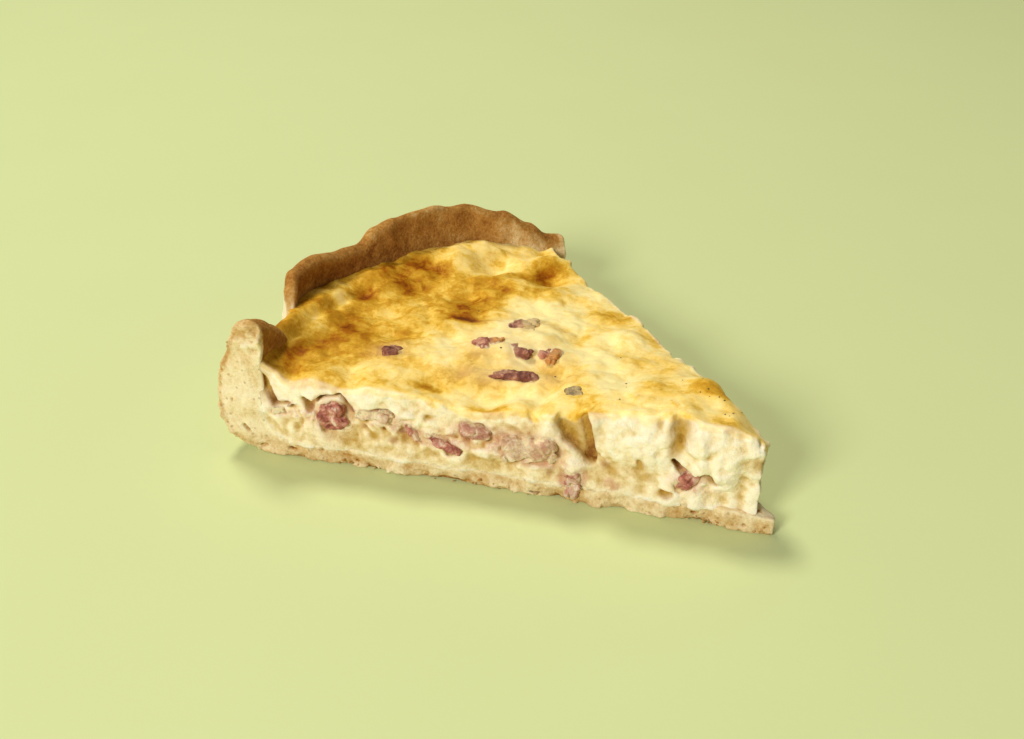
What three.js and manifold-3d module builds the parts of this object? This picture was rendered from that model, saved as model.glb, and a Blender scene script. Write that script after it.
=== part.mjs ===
// A slice of bacon quiche, cut as a wedge from a 28 cm tart. Millimetres, +Z up.
//
// Places are worked out from the tart's centre: a radius, an angle that starts
// at the front cut and opens towards the back cut, and a height. The front cut
// faces -Y with the tip at +X. The finished slice stands on z = 0 with its
// footprint's middle on the Z axis.
import * as THREE from "three";
import { mergeVertices } from "three/addons/utils/BufferGeometryUtils.js";
import Module from "manifold-3d";

const wasm = await Module();
wasm.setup();

const WEDGE = THREE.MathUtils.degToRad(52.6);
const GAP = 0.35; // left between touching pieces
const OVERRUN = 3; // how far a cutting form runs past the faces that it cuts

// Pastry
const BASE_THICKNESS = 5;
const CRUST_TIP_RADIUS = -1; // the crust's tip lies just past the tart's centre
const CRUST_TIP_WIDTH = 3;
const FOOT_HEIGHT = 16; // the rounded corner between base and wall, outside
const FOOT_INSET = 11;
const COVE_HEIGHT = 8; // and the cove between them, inside
const COVE_INSET = 7;
const LEAN_FROM = 17; // above this height the wall leans towards its crest

// The rim, by angle in degrees: its height, the radius of its crest, half of
// the crest's thickness, and the wall's outer and inner radius. A stump stands
// at the front cut, a notch follows, and one long wavy lobe runs from there to
// the back cut, where the wall is broken off a little beyond the cut.
const RIM = [
  { at: 0, height: 38.8, crest: 128.3, half: 3.6, outer: 139.5, inner: 126.8 },
  { at: 2.3, height: 36.6, crest: 128.3, half: 3.4, outer: 139.5, inner: 126.6 },
  { at: 4.6, height: 32.3, crest: 128.4, half: 3.2, outer: 138.4, inner: 126.5 },
  { at: 7, height: 26.8, crest: 128.4, half: 2.9, outer: 136.6, inner: 126.5 },
  { at: 8.7, height: 23, crest: 128.3, half: 2.8, outer: 135, inner: 126.8 },
  { at: 9.7, height: 22.6, crest: 128.6, half: 2.4, outer: 134.6, inner: 127 },
  { at: 10.4, height: 28, crest: 130.2, half: 1.7, outer: 135.2, inner: 127.4 },
  { at: 11.3, height: 34.4, crest: 131.9, half: 1.7, outer: 136.6, inner: 129 },
  { at: 13.5, height: 37, crest: 133.9, half: 1.8, outer: 138.8, inner: 131.6 },
  { at: 17, height: 37.2, crest: 134.8, half: 1.8, outer: 140.6, inner: 132.4 },
  { at: 22, height: 34.8, crest: 134.5, half: 1.8, outer: 140.8, inner: 131.8 },
  { at: 25, height: 33.8, crest: 134.5, half: 1.8, outer: 140.6, inner: 131.3 },
  { at: 27.8, height: 37.4, crest: 134.5, half: 1.8, outer: 140.6, inner: 130.7 },
  { at: 31, height: 38.3, crest: 134.5, half: 1.8, outer: 140.6, inner: 130.3 },
  { at: 36, height: 38, crest: 134.5, half: 1.8, outer: 140.6, inner: 130.2 },
  { at: 41, height: 36.3, crest: 134.3, half: 1.8, outer: 140, inner: 130 },
  { at: 46.3, height: 31.4, crest: 131.5, half: 1.9, outer: 137.5, inner: 126.8 },
  { at: 50, height: 26.8, crest: 128.9, half: 2, outer: 134.4, inner: 123.6 },
  { at: 52.6, height: 22.4, crest: 127.8, half: 2, outer: 133.4, inner: 123 },
];
const RIM_BREAK = 4; // how far the wall stands out beyond the back cut
const RIM_BREAK_FROM = 113; // at a radius growing from this one
const RIM_BREAK_TO = 124; // to this one

// Custard: the height of its top along the front cut and along the back cut,
// by radius, and how much more it stands midway between them.
const FILL_TIP_RADIUS = 3.2;
const FILL_INTO_WALL = 1.5; // the block runs this far into the wall before it is cut
const FILL_INTO_BASE = 2; // and this far into the base
const FILL_FRONT = [
  { at: 0, height: 22 },
  { at: 6, height: 26 },
  { at: 13, height: 28.4 },
  { at: 22, height: 29 },
  { at: 32, height: 27.8 },
  { at: 42, height: 26 },
  { at: 53, height: 24.6 },
  { at: 58, height: 22 },
  { at: 66, height: 21.2 },
  { at: 74, height: 22.2 },
  { at: 95, height: 23.4 },
  { at: 112, height: 23.3 },
  { at: 119, height: 24 },
  { at: 124, height: 26.2 },
  { at: 128, height: 30 },
];
const FILL_BACK = [
  { at: 0, height: 20.6 },
  { at: 7, height: 22.4 },
  { at: 15, height: 24 },
  { at: 28, height: 25 },
  { at: 44, height: 23.4 },
  { at: 55, height: 22 },
  { at: 68, height: 22 },
  { at: 85, height: 20.4 },
  { at: 103, height: 20.4 },
  { at: 110, height: 21.6 },
  { at: 118, height: 20 },
  { at: 126, height: 21 },
];
const FILL_SWELL = [
  { at: 0, height: 0.5 },
  { at: 60, height: 1.2 },
  { at: 105, height: 1.6 },
  { at: 122, height: 1.9 },
  { at: 132, height: 1.8 },
];

// Mounds and hollows of the baked top: radius, angle in degrees, reach and
// height, with a stretch along one direction where the form is a ridge.
const TOP_FORMS = [
  { radius: 77, angle: 25, reach: 13, height: 2.2 }, // custard over the bacon
  { radius: 121, angle: 38, reach: 6, height: 2.6, stretch: 2, turn: 60 },
  { radius: 101, angle: 40, reach: 6, height: 2.6 },
  { radius: 94, angle: 45, reach: 5, height: 1.6 },
  { radius: 103, angle: 46.5, reach: 5.5, height: -3.2 },
  { radius: 112, angle: 48, reach: 6, height: 2 },
  { radius: 115, angle: 41, reach: 5, height: -1.8 },
  { radius: 105, angle: 31, reach: 5, height: -1.8, stretch: 1.8, turn: 20 },
  { radius: 99, angle: 34, reach: 4.5, height: 1.4 },
  { radius: 125, angle: 14.5, reach: 6, height: 0.6 },
  { radius: 125, angle: 21, reach: 4, height: -2.4 },
  { radius: 116, angle: 27, reach: 6, height: -1.2 },
  { radius: 100, angle: 11.5, reach: 5.5, height: 1.1 },
  { radius: 108, angle: 16, reach: 7, height: -1.1 },
  { radius: 93, angle: 9, reach: 6, height: 1.2 },
  { radius: 85, angle: 5, reach: 5, height: -1, stretch: 2, turn: 0 },
  { radius: 70, angle: 5, reach: 4, height: -1.2 },
  { radius: 61, angle: 3, reach: 4.5, height: 1.2 },
  { radius: 48, angle: 2, reach: 2.6, height: -1.6 },
  { radius: 26, angle: 46, reach: 5, height: 2.4 },
  { radius: 14.5, angle: 42, reach: 5, height: 1.8 },
  { radius: 20, angle: 20, reach: 4, height: -0.9 },
  { radius: 60, angle: 44, reach: 8, height: 1 },
  { radius: 43, angle: 30, reach: 7, height: -0.8 },
];

// Swells and hollows of the custard's front cut: radius, height, half width,
// half height, and how far they stand out (below 0 they lie back).
const FRONT_FORMS = [
  { radius: 12.4, height: 21.4, wide: 8, tall: 9, proud: 1.5 },
  { radius: 34, height: 19.5, wide: 10, tall: 7, proud: 0.8 },
  { radius: 53.4, height: 20.6, wide: 2.6, tall: 4.6, proud: 1.5 },
  { radius: 46.6, height: 11.6, wide: 3.2, tall: 2.6, proud: 1.2 },
  { radius: 12, height: 8, wide: 9, tall: 3.6, proud: -0.9 },
  { radius: 112, height: 21.4, wide: 12, tall: 2.6, proud: 0.5 },
  { radius: 91, height: 13, wide: 16, tall: 3, proud: -0.5 },
  { radius: 60, height: 7.6, wide: 12, tall: 2, proud: -0.4 },
];

// Hollows torn in the front cut: radius, height, and half sizes along the cut,
// into the slice and upwards, with a turn about the depth in degrees.
const FRONT_CAVES = [
  { radius: 125.3, height: 21, half: [1.7, 4, 4.6], turn: 22 },
  { radius: 119.5, height: 16.8, half: [4.2, 3.5, 1], turn: 6 },
  { radius: 103.6, height: 17.4, half: [1.3, 3.5, 3.6], turn: 0 },
  { radius: 108, height: 20.4, half: [4.2, 3.5, 1.1], turn: 10 },
  { radius: 96, height: 18.2, half: [4.2, 3, 0.7], turn: -2 },
  { radius: 83.4, height: 17.4, half: [3.2, 3, 1], turn: -4 },
  { radius: 70.6, height: 17.9, half: [4, 2.5, 0.8], turn: -6 },
  { radius: 57.8, height: 23, half: [1.2, 2.4, 2.8], turn: 0 },
  { radius: 47.2, height: 20.8, half: [3.6, 4, 3.6], turn: 0 },
  { radius: 43.8, height: 15.6, half: [1.2, 4, 3.6], turn: 14 },
  { radius: 22.6, height: 25, half: [2, 2.4, 5], turn: 0 },
  { radius: 16, height: 12.6, half: [2.6, 3, 0.9], turn: -8 },
];

// Bacon that shows at the front cut: radius and height of its middle, size
// along the cut, into the slice and upwards, a turn about the depth in degrees,
// and how far it stands out of the cut.
const FRONT_BACON = [
  { radius: 122.6, height: 13.9, size: [3.8, 4, 2], turn: 8, proud: 0.6 },
  { radius: 108.4, height: 14.4, size: [7.4, 8, 8.6], turn: 20, proud: 1.5 },
  { radius: 96.2, height: 16.4, size: [8.8, 6, 2.4], turn: -3, proud: 0.8 },
  { radius: 87.2, height: 12.9, size: [6.6, 6, 1.7], turn: -60, proud: 0.8 },
  { radius: 80, height: 11.2, size: [9.4, 6, 1.7], turn: -22, proud: 0.7 },
  { radius: 71.2, height: 16, size: [7.4, 5, 2.8], turn: -8, proud: 0.6 },
  { radius: 58.2, height: 13.8, size: [12.2, 7, 6.6], turn: 10, proud: 1.7 },
  { radius: 46.8, height: 5.8, size: [3.6, 5, 6.8], turn: 4, proud: 1 },
  { radius: 20.4, height: 11, size: [5.6, 5, 3.4], turn: 40, proud: 0.3 },
];

// Bacon baked into the top, and one sliver of leek: radius, angle in degrees,
// length, width and thickness, how far the piece stands out of the custard,
// its turn in plan from the front cut and its tilt along its length.
const TOP_PIECES = [
  { name: "bacon_top_1", radius: 100, angle: 10.9, size: [5.6, 4.4, 4], proud: 0.7, turn: 30, tilt: 10 },
  { name: "bacon_top_2", radius: 80.2, angle: 19.8, size: [9, 5.4, 5], proud: 1.2, turn: 24, tilt: 6 },
  { name: "bacon_top_3", radius: 81.6, angle: 30.4, size: [8.2, 4.6, 5], proud: 1.1, turn: 6, tilt: 0 },
  { name: "bacon_top_4", radius: 72.4, angle: 21.2, size: [6.8, 4.2, 4.4], proud: 0.8, turn: 4, tilt: 4 },
  { name: "bacon_top_5", radius: 65, angle: 25.2, size: [6, 5.2, 4.8], proud: 1.1, turn: -26, tilt: -6 },
  { name: "bacon_top_6", radius: 68.4, angle: 13.6, size: [15, 3.8, 4.2], proud: 0.9, turn: 4, tilt: 0 },
  { name: "leek_top", radius: 50.6, angle: 11.4, size: [4.6, 3.8, 2.2], proud: 0.5, turn: 20, tilt: 0 },
];

// Relief of the cuts and of the top that is finer than the forms above
const CRAG_SIZE = 7;
const CRAG_DEPTH = 0.9;
const CRUMB_SIZE = 3.6;
const CRUMB_DEPTH = 0.4;
const TOP_CRAG_SHARE = 0.6; // the baked top is smoother than the cuts
const TIP_FADE = 9; // crags fade out this near to the tip

// How many steps each solid is made with
const CRUST_STEPS = { around: 42, base: 5, wall: 10, through: 2 };
const STUMP_SHARE = 0.28; // half of the crust's steps go to this share of its angle
const FILL_STEPS = { around: 22, along: 42, upright: 7 };
const BACON_STEP = 2.6; // length of a bacon facet
const BACON_SQUARENESS = 5; // from 2 for a round piece to large for a sharp block

const clamp = THREE.MathUtils.clamp;
const lerp = THREE.MathUtils.lerp;
const radians = THREE.MathUtils.degToRad;

// A smooth value between the rows of a table, by the column "at".
function between(rows, at, column) {
  const next = rows.findIndex((row) => row.at >= at);
  if (next === 0) return rows[0][column];
  if (next < 0) return rows[rows.length - 1][column];
  const [before, after] = [rows[next - 1], rows[next]];
  const share = (at - before.at) / (after.at - before.at);
  return lerp(before[column], after[column], share * share * (3 - 2 * share));
}

// Repeatable noise from -1 to 1 that changes over a distance of about 1.
function lattice(i, j, k) {
  const wave = Math.sin(i * 127.1 + j * 311.7 + k * 74.7) * 43758.5453;
  return 2 * (wave - Math.floor(wave)) - 1;
}

function noise(x, y, z) {
  const cell = [x, y, z].map(Math.floor);
  const [u, v, w] = [x, y, z].map((value, i) => {
    const part = value - cell[i];
    return part * part * (3 - 2 * part);
  });
  const row = (j, k) =>
    lerp(
      lattice(cell[0], cell[1] + j, cell[2] + k),
      lattice(cell[0] + 1, cell[1] + j, cell[2] + k),
      u,
    );
  return lerp(lerp(row(0, 0), row(1, 0), v), lerp(row(0, 1), row(1, 1), v), w);
}

function crags(x, y, z) {
  return (
    CRAG_DEPTH * noise(x / CRAG_SIZE, y / CRAG_SIZE, z / CRAG_SIZE) +
    CRUMB_DEPTH * noise(x / CRUMB_SIZE, y / CRUMB_SIZE, z / CRUMB_SIZE)
  );
}

// A point from its radius, angle and height, moved by a distance square to its
// radius, towards the back cut.
function placed(radius, angle, height, aside) {
  return [
    Math.sin(angle) * aside - radius * Math.cos(angle),
    Math.cos(angle) * aside + radius * Math.sin(angle),
    height,
  ];
}

// -1 on the front cut, 1 on the back cut and 0 between them.
const sideOf = (share) => (share === 0 ? -1 : share === 1 ? 1 : 0);

// How far the torn cuts stand out of their planes at a radius and a height.
function torn(share, radius, height) {
  const side = sideOf(share);
  if (!side) return 0;
  const fade = clamp((radius - 1) / TIP_FADE, 0, 1);
  return side * fade * crags(radius, 50 * side, height);
}

// A solid with the faces of a box, each vertex moved to where place puts it.
// place gets three shares from 0 to 1, in an order that keeps faces outward.
function shapedBox(steps, place) {
  const geometry = new THREE.BoxGeometry(1, 1, 1, ...steps);
  geometry.deleteAttribute("normal");
  geometry.deleteAttribute("uv");
  const merged = mergeVertices(geometry);
  const position = merged.getAttribute("position");
  for (let i = 0; i < position.count; i++) {
    const shares = [position.getX(i), position.getY(i), position.getZ(i)];
    position.setXYZ(i, ...place(...shares.map((value) => value + 0.5)));
  }
  return merged;
}

function solidOf(geometry) {
  return new wasm.Manifold(
    new wasm.Mesh({
      numProp: 3,
      vertProperties: new Float32Array(geometry.getAttribute("position").array),
      triVerts: new Uint32Array(geometry.index.array),
    }),
  );
}

function geometryOf(solid) {
  const mesh = solid.getMesh();
  return new THREE.BufferGeometry()
    .setAttribute("position", new THREE.BufferAttribute(mesh.vertProperties, 3))
    .setIndex(new THREE.BufferAttribute(mesh.triVerts, 1));
}

// The rim's values at an angle in radians.
function rimAt(angle) {
  const degrees = THREE.MathUtils.radToDeg(angle);
  const columns = Object.keys(RIM[0]);
  return Object.fromEntries(
    columns.map((column) => [column, between(RIM, degrees, column)]),
  );
}

// How far a quarter-round corner of unit size stands in from its wall.
const roundIn = (share) => 1 - Math.sqrt(1 - share * share);

// The wall's outer radius at a height, or with side -1 its inner radius.
function wallRadius(rim, height, side) {
  const [foot, size, inset] =
    side > 0
      ? [0, FOOT_HEIGHT, FOOT_INSET]
      : [BASE_THICKNESS, COVE_HEIGHT, COVE_INSET];
  const low = clamp(1 - (height - foot) / size, 0, 1);
  const upright = (side > 0 ? rim.outer : rim.inner) - inset * roundIn(low);
  const lean = THREE.MathUtils.smoothstep(height, LEAN_FROM, rim.height);
  const rounding = clamp((height - rim.height + rim.half) / rim.half, 0, 1);
  const crest = rim.crest + side * rim.half * (1.15 - roundIn(rounding));
  return lerp(upright, crest, lean);
}

// The pastry shell: a base and a wall in one piece. Grown by a margin on its
// inner side and run past both cuts, it is what the custard is cut to fit.
function crustSolid(margin) {
  const { around, base, wall, through } = CRUST_STEPS;
  const baseShare = base / (base + wall);
  const turn = (share) =>
    share < 0.5
      ? WEDGE * STUMP_SHARE * 2 * share
      : WEDGE * lerp(STUMP_SHARE, 1, 2 * share - 1);
  const aside = (share, radius, height) => {
    const far = THREE.MathUtils.smoothstep(radius, RIM_BREAK_FROM, RIM_BREAK_TO);
    const broken = share === 1 ? RIM_BREAK * far : 0;
    const cut = margin ? sideOf(share) * OVERRUN : torn(share, radius, height);
    return broken + cut;
  };
  const place = (u, v, w) => {
    const angle = turn(u);
    const rim = rimAt(angle);
    const floor = lerp(0, BASE_THICKNESS + margin, w);
    const start = lerp(
      wallRadius(rim, 0, 1),
      wallRadius(rim, BASE_THICKNESS, -1) - margin,
      w,
    );
    if (v <= baseShare) {
      const share = v / baseShare;
      const radius = lerp(0, start, share);
      const point = placed(radius, angle, floor, aside(u, radius, floor));
      // the two cuts run out in a blunt tip
      const blunt = (1 - share) ** 4;
      point[0] = lerp(point[0], -CRUST_TIP_RADIUS, blunt);
      point[1] += blunt * CRUST_TIP_WIDTH * (u - 0.5);
      return point;
    }
    const share = (v - baseShare) / (1 - baseShare);
    const rise = 0.5 - 0.5 * Math.cos(Math.PI * share);
    const heights = [rim.height * rise, lerp(BASE_THICKNESS, rim.height, rise)];
    const outer = wallRadius(rim, heights[0], 1);
    const inner = wallRadius(rim, heights[1], -1) - margin;
    const radius = lerp(outer, inner, w);
    const height = lerp(heights[0], heights[1] + margin, w);
    return placed(radius, angle, height, aside(u, radius, height));
  };
  return solidOf(shapedBox([around, base + wall, through], place));
}

// The height of the custard's top.
function topHeight(radius, angle) {
  const share = angle / WEDGE;
  const x = -radius * Math.cos(angle);
  const y = radius * Math.sin(angle);
  let height =
    lerp(
      between(FILL_FRONT, radius, "height"),
      between(FILL_BACK, radius, "height"),
      share,
    ) +
    4 * share * (1 - share) * between(FILL_SWELL, radius, "height");
  for (const form of TOP_FORMS) {
    const middle = radians(form.angle);
    const dx = x + form.radius * Math.cos(middle);
    const dy = y - form.radius * Math.sin(middle);
    const turn = radians(form.turn ?? 0);
    const lengthwise = dx * Math.cos(turn) + dy * Math.sin(turn);
    const across = dy * Math.cos(turn) - dx * Math.sin(turn);
    const far = Math.hypot(lengthwise / (form.stretch ?? 1), across) / form.reach;
    height += form.height * Math.exp(-far * far);
  }
  return height + TOP_CRAG_SHARE * crags(x, y, 0);
}

// How far the custard's front cut stands out at a radius and a height.
function frontForms(radius, height) {
  return FRONT_FORMS.reduce((total, form) => {
    const far =
      ((radius - form.radius) / form.wide) ** 2 +
      ((height - form.height) / form.tall) ** 2;
    return total + form.proud * Math.exp(-far * far);
  }, 0);
}

// The custard before the pastry, the bacon and the caves are taken out of it.
function custardBlock() {
  const { around, along, upright } = FILL_STEPS;
  return solidOf(
    shapedBox([around, along, upright], (u, v, w) => {
      const angle = u * WEDGE;
      const radius = lerp(FILL_TIP_RADIUS, rimAt(angle).inner + FILL_INTO_WALL, v);
      const low = BASE_THICKNESS - FILL_INTO_BASE;
      const height = lerp(low, topHeight(radius, angle), w);
      const forms = u === 0 ? frontForms(radius, height) : 0;
      return placed(radius, angle, height, torn(u, radius, height) - forms);
    }),
  );
}

// A cut piece of bacon: a rounded, slightly uneven block about the origin.
function baconGeometry(size, margin) {
  const steps = size.map((length) => clamp(Math.round(length / BACON_STEP), 2, 5));
  const power = BACON_SQUARENESS;
  return shapedBox(steps, (u, v, w) => {
    const [x, y, z] = [2 * u - 1, 2 * v - 1, 2 * w - 1];
    const round =
      (Math.abs(x) ** power + Math.abs(y) ** power + Math.abs(z) ** power) **
      (1 / power);
    const uneven = 1 + 0.1 * noise(3 * x + size[0], 3 * y, 3 * z + size[2]);
    return [x, y, z].map(
      (value, i) => (value / round) * uneven * (size[i] / 2 + margin),
    );
  });
}

// Turned and moved geometry of a piece that shows at the front cut.
function frontPiece(geometry, piece, depth) {
  return geometry
    .rotateY(-radians(piece.turn))
    .translate(-piece.radius, depth, piece.height);
}

function frontBacon(piece, margin) {
  const depth = piece.size[1] / 2 - piece.proud;
  return solidOf(frontPiece(baconGeometry(piece.size, margin), piece, depth));
}

function topPiece(piece, margin) {
  const angle = radians(piece.angle);
  const height =
    topHeight(piece.radius, angle) + piece.proud - piece.size[2] / 2;
  return solidOf(
    baconGeometry(piece.size, margin)
      .rotateY(radians(piece.tilt))
      .rotateZ(radians(piece.turn))
      .translate(
        -piece.radius * Math.cos(angle),
        piece.radius * Math.sin(angle),
        height,
      ),
  );
}

function frontCave(cave) {
  const geometry = new THREE.SphereGeometry(1, 8, 6);
  geometry.deleteAttribute("normal");
  geometry.deleteAttribute("uv");
  const merged = mergeVertices(geometry).scale(...cave.half);
  return solidOf(frontPiece(merged, cave, 0));
}

const pastry = { color: 0xd9b27c, roughness: 0.85, metalness: 0 };
const custard = { color: 0xf3dd9c, roughness: 0.55, metalness: 0 };
const bacon = { color: 0xa8505a, roughness: 0.5, metalness: 0 };
const leek = { color: 0xa59a6c, roughness: 0.6, metalness: 0 };

const slice = new THREE.Group();
function add(name, solid, look) {
  const material = new THREE.MeshStandardMaterial(look);
  const mesh = new THREE.Mesh(geometryOf(solid), material);
  mesh.name = name;
  slice.add(mesh);
}

let crust = crustSolid(0);
let filling = custardBlock().subtract(crustSolid(GAP));
for (const cave of FRONT_CAVES) filling = filling.subtract(frontCave(cave));

FRONT_BACON.forEach((piece, i) => {
  const room = frontBacon(piece, GAP);
  crust = crust.subtract(room);
  filling = filling.subtract(room);
  add(`bacon_cut_${i + 1}`, frontBacon(piece, 0), bacon);
});
for (const piece of TOP_PIECES) {
  filling = filling.subtract(topPiece(piece, GAP));
  const look = piece.name.startsWith("leek") ? leek : bacon;
  add(piece.name, topPiece(piece, 0), look);
}
add("crust", crust, pastry);
add("filling", filling, custard);

// The slice's frame: the middle of its footprint, on the surface it stands on
const extent = new THREE.Box3().setFromObject(slice);
const middle = extent.getCenter(new THREE.Vector3());
slice.position.set(-middle.x, -middle.y, -extent.min.z);

export default slice;
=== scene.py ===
import math

import bpy
import numpy as np
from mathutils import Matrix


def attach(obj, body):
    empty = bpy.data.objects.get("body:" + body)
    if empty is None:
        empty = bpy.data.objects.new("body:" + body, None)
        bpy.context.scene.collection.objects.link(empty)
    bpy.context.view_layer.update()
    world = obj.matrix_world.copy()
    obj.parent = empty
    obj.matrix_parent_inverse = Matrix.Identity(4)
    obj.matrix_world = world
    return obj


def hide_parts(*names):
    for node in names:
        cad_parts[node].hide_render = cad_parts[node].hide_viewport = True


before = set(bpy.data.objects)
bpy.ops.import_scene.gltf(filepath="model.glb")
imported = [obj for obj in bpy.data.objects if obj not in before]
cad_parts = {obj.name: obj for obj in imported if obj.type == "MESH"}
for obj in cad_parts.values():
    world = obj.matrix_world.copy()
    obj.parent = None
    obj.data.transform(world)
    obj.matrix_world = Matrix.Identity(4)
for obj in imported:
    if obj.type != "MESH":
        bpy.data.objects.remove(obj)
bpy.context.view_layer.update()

import openvdb
from mathutils import Vector

# A slice of bacon quiche. Food shapes are worked out in millimetres as signed
# distances on a grid (negative inside), about the tart's centre: the front cut
# runs along -X at y = 0, angles open from it towards the back cut, +Z is up.
TART_CENTRE = (69.18, -52.93, 0)  # where that centre is in the part's frame
MM = 0.001

STEP = 0.45  # size of a grid cell
GRID_LOW = (-143, -5, -1.5)
GRID_HIGH = (4, 117, 41.5)
FAR = 3.0  # distances are kept below this

WEDGE = 52.6  # degrees between the two cuts

# Pastry
BASE_THICKNESS = 5
FOOT = (0, 16, 11)  # rounded outer corner: its lowest height, height and inset
COVE = (BASE_THICKNESS, 8, 7)  # and the cove inside
LEAN_FROM = 17  # height above which the wall leans over to its crest
CREST_FULLNESS = 1.15
NOTCH_ANGLE = 11.4  # middle of the pale broken side of the rim's notch
RIM_BREAK = 4  # how far the wall's broken end stands out past the back cut
RIM_BREAK_FROM = 113
RIM_BREAK_TO = 124
CRUST_TIP = 1  # how far the tip runs past the tart's centre
CRUST_TIP_HALF_WIDTH = 1.5

# The rim: angle, height, radius and half thickness of its crest, and the
# wall's outer and inner radius
RIM = np.array([
    (0, 38.8, 128.3, 3.6, 139.5, 126.8),
    (2.3, 36.6, 128.3, 3.4, 139.5, 126.6),
    (4.6, 32.3, 128.4, 3.2, 138.4, 126.5),
    (7, 26.8, 128.4, 2.9, 136.6, 126.5),
    (8.7, 23, 128.3, 2.8, 135, 126.8),
    (9.7, 22.6, 128.6, 2.4, 134.6, 127),
    (10.4, 28, 130.2, 1.7, 135.2, 127.4),
    (11.3, 34.4, 131.9, 1.7, 136.6, 129),
    (13.5, 37, 133.9, 1.8, 138.8, 131.6),
    (17, 37.2, 134.8, 1.8, 140.6, 132.4),
    (22, 34.8, 134.5, 1.8, 140.8, 131.8),
    (25, 33.8, 134.5, 1.8, 140.6, 131.3),
    (27.8, 37.4, 134.5, 1.8, 140.6, 130.7),
    (31, 38.3, 134.5, 1.8, 140.6, 130.3),
    (36, 38, 134.5, 1.8, 140.6, 130.2),
    (41, 36.3, 134.3, 1.8, 140, 130),
    (46.3, 31.4, 131.5, 1.9, 137.5, 126.8),
    (50, 26.8, 128.9, 2, 134.4, 123.6),
    (52.6, 22.4, 127.8, 2, 133.4, 123),
])
HEIGHT, CREST, HALF, OUTER, INNER = range(1, 6)

# Custard: radius and height of its top along both cuts, and how much more it
# stands midway between them
FILL_TIP_RADIUS = 3.2
CORNER_WEAR = 2.2  # how far its corner by the wall's low end is worn down
WORN_CORNER = (127, WEDGE, 5, 1, 0)  # its radius, angle, reach, stretch and turn
FILM_REACH = 2  # how far custard creeps up around a piece in the top
FILM_DEPTH = 0.6  # how thick it is there
CUSTARD_OVERLAP = 1.2  # how far the custard is baked into the pastry
FILL_FRONT = np.array([
    (0, 22), (6, 26), (13, 28.4), (22, 29), (32, 27.8), (42, 26), (53, 24.6), (58, 22),
    (66, 21.2), (74, 22.2), (95, 23.4), (112, 23.3), (119, 24), (124, 26.2), (128, 30),
])
FILL_BACK = np.array([
    (0, 20.6), (7, 22.4), (15, 24), (28, 25), (44, 23.4), (55, 22), (68, 22), (85, 20.4),
    (103, 20.4), (110, 21.6), (118, 20), (126, 21),
])
FILL_SWELL = np.array([(0, 0.5), (60, 1.2), (105, 1.6), (122, 1.9), (132, 1.8)])

# Mounds and hollows of the baked top: radius, angle, reach, height, stretch
# and the turn of the stretch
TOP_FORMS = [
    (77, 25, 13, 2.2, 1, 0), (121, 38, 6, 2.6, 2, 60), (101, 40, 6, 2.6, 1, 0),
    (94, 45, 5, 1.6, 1, 0), (103, 46.5, 5.5, -3.2, 1, 0), (112, 48, 6, 2, 1, 0),
    (115, 41, 5, -1.8, 1, 0), (105, 31, 5, -1.8, 1.8, 20), (99, 34, 4.5, 1.4, 1, 0),
    (125, 14.5, 6, 0.6, 1, 0), (125, 21, 4, -2.4, 1, 0), (116, 27, 6, -1.2, 1, 0),
    (100, 11.5, 5.5, 1.1, 1, 0), (108, 16, 7, -1.1, 1, 0), (93, 9, 6, 1.2, 1, 0),
    (85, 5, 5, -1, 2, 0), (70, 5, 4, -1.2, 1, 0), (61, 3, 4.5, 1.2, 1, 0),
    (48, 2, 2.6, -1.6, 1, 0), (26, 46, 5, 2.4, 1, 0), (14.5, 42, 5, 1.8, 1, 0),
    (20, 20, 4, -0.9, 1, 0), (60, 44, 8, 1, 1, 0), (43, 30, 7, -0.8, 1, 0),
]

# Browning of the top: radius, angle, reach, strength (below 0 is paler),
# stretch and the turn of the stretch
BROWN_SPOTS = [
    (123.6, 20.4, 3, 0.55, 1.3, 60), (96.3, 25.1, 1.8, 0.5, 2.2, 14),
    (86.2, 4.4, 1.7, 0.5, 2.4, 8), (107.6, 46.4, 4, 0.25, 1, 0), (24.4, 46, 4, 0.34, 1.2, -40),
    (13.5, 44, 4.5, 0.24, 1.2, -40), (119, 8.2, 3.6, 0.26, 1.4, 80), (118.6, 13, 4.5, 0.2, 1.6, 80),
    (121, 26, 3, 0.22, 1.3, 50), (99.4, 31.3, 4, 0.22, 1.6, 20), (115.7, 23.4, 5, 0.1, 1.3, 40),
    (66, 2.6, 3, 0.4, 1.4, 10), (71.5, 2, 2, 0.3, 1, 0), (34.7, 30.2, 5, 0.12, 1.4, 0),
    (59.8, 36.5, 4, 0.1, 1.6, -20), (101.7, 36.6, 2, 0.2, 1.4, 20), (102.2, 32.1, 2, 0.2, 1.4, 20),
    (74, 49, 3.5, 0.2, 2, -40), (56, 50, 3, 0.2, 1.6, -40), (73, 8, 5, 0.1, 1.6, 10),
    (107.1, 3, 6, -0.25, 1.4, 0), (104.8, 16.6, 5, -0.2, 1.5, 10), (98.2, 18, 4, -0.1, 1, 0),
    (86, 12.5, 6, -0.12, 1.5, 10), (76.4, 38, 7, -0.14, 1.4, -20), (60.9, 10, 6, -0.14, 1.5, 10),
    (80, 24, 9, -0.16, 1.3, 10), (101, 40, 3.5, -0.2, 1, 0), (120, 2, 3.5, 0.12, 1, 0),
]

# Forms of the custard's front cut: radius, height, half width, half height and
# how far they stand out (below 0 they lie back)
FRONT_FORMS = [
    (12.4, 21.4, 8, 9, 1.5), (34, 19.5, 10, 7, 0.8), (53.4, 20.6, 2.6, 4.6, 1.5),
    (46.6, 11.6, 3.2, 2.6, 1.2), (22.6, 24.6, 2, 5.5, -1.8), (12, 8, 9, 3.6, -0.9),
    (112, 21.4, 12, 2.6, 0.5), (91, 13, 16, 3, -0.5),
    (30, 12, 4, 4, -0.6), (60, 7.6, 12, 2, -0.4),
]

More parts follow.
